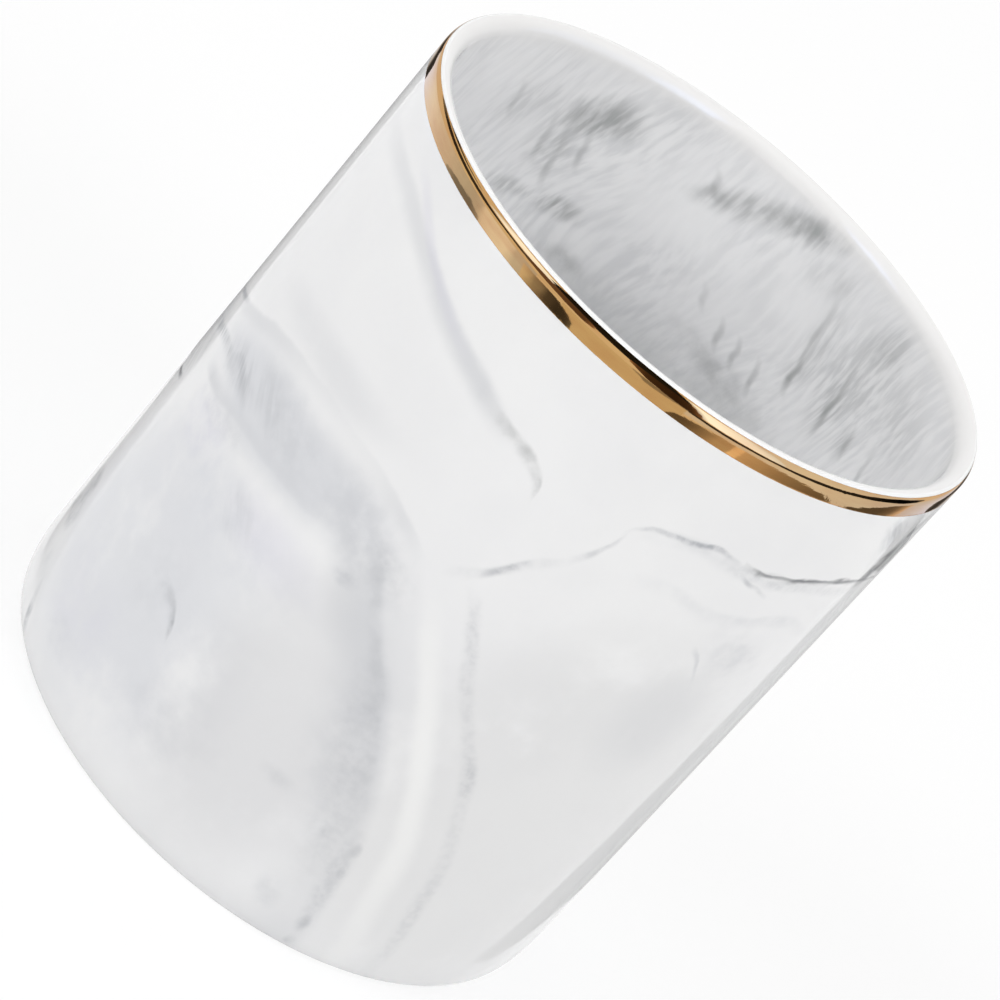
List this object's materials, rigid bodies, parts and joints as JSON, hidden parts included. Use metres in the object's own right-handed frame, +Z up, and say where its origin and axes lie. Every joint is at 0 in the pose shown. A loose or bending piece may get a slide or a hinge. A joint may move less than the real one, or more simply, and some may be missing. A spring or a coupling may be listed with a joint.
{
  "type": "ceramic pen holder",
  "caption": "Round ceramic cup that stands on a desk and holds pens upright, with grey marbled glaze inside and out and a mirror-gold band just below its white lip.",
  "frame": {"origin": "middle of the foot, on the surface that the cup stands on", "axes": "+Z up the cup's axis, out of its mouth; the cup is round, so +X and +Y are free"},
  "size_m": [0.08, 0.08, 0.089],
  "materials": {
    "marble_glaze": "clear gloss glaze over soft grey marbling on white stoneware",
    "gold_lustre": "fired bright gold, mirror smooth with slightly wavy edges"
  },
  "bodies": {
    "root": {"cup_body": "marble_glaze", "gold_band": "gold_lustre"}
  },
  "joints": []
}
